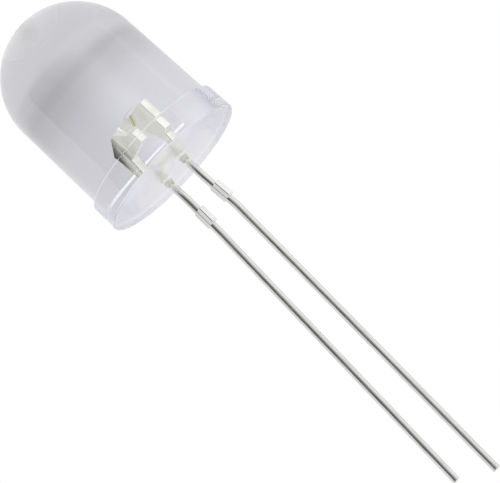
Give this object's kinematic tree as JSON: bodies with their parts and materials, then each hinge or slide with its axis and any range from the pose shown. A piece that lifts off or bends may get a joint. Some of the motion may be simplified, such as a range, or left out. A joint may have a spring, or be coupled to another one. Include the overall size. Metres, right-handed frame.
{
  "type": "through hole led",
  "caption": "Clear round-topped LED with a flanged epoxy body, a reflector cup inside and long square leads for soldering through a board.",
  "frame": {"origin": "centre of the flat seating face, on the optical axis", "axes": "+Z along the optical axis out of the dome, +X from the short lead to the long lead, +Y across the sheet that the leads are stamped from"},
  "size_m": [0.0107, 0.011, 0.0432],
  "materials": {
    "clear_epoxy": "glossy, water clear with a faint lavender tint",
    "plated_sheet": "bright tin plating over stamped steel strip",
    "chip": "polished semiconductor",
    "silver_adhesive": "silver-filled, matte",
    "gold_wire": "bright gold"
  },
  "bodies": {
    "root": {"epoxy_lens": "clear_epoxy", "cup_lead": "plated_sheet", "post_lead": "plated_sheet", "led_die": "chip", "die_attach": "silver_adhesive", "bond_wire": "gold_wire"}
  },
  "joints": []
}
